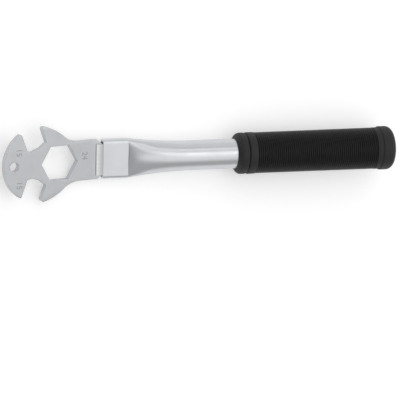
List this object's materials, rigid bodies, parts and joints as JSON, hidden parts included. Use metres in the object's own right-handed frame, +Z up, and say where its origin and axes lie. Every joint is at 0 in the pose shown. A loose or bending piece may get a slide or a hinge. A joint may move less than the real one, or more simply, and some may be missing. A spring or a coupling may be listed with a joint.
{
  "type": "pedal wrench",
  "caption": "Flat plate pedal wrench with open jaws on both sides of the head, a hexagon hole and a hanging hole, on a bent round handle with a ribbed rubber grip",
  "frame": {"origin": "centre of the bounding box in plan, on the floor the wrench lies on", "axes": "X runs from the head to the free end of the grip, Y across the handle in plan, Z up. The wrench lies as it comes to rest: on the swelling of the tube, one corner of the tube's mouth and the front bead of the grip"},
  "size_m": [0.2878, 0.0524, 0.0387],
  "materials": {
    "plate_steel": "satin chrome over stamped steel",
    "tube_steel": "satin chrome over drawn steel tube",
    "weld_steel": "satin chrome over a ground weld",
    "grip_rubber": "matt black rubber"
  },
  "bodies": {
    "root": {"head_plate": "plate_steel", "handle_tube": "tube_steel", "weld_bead": "weld_steel", "rubber_grip": "grip_rubber"}
  },
  "joints": []
}
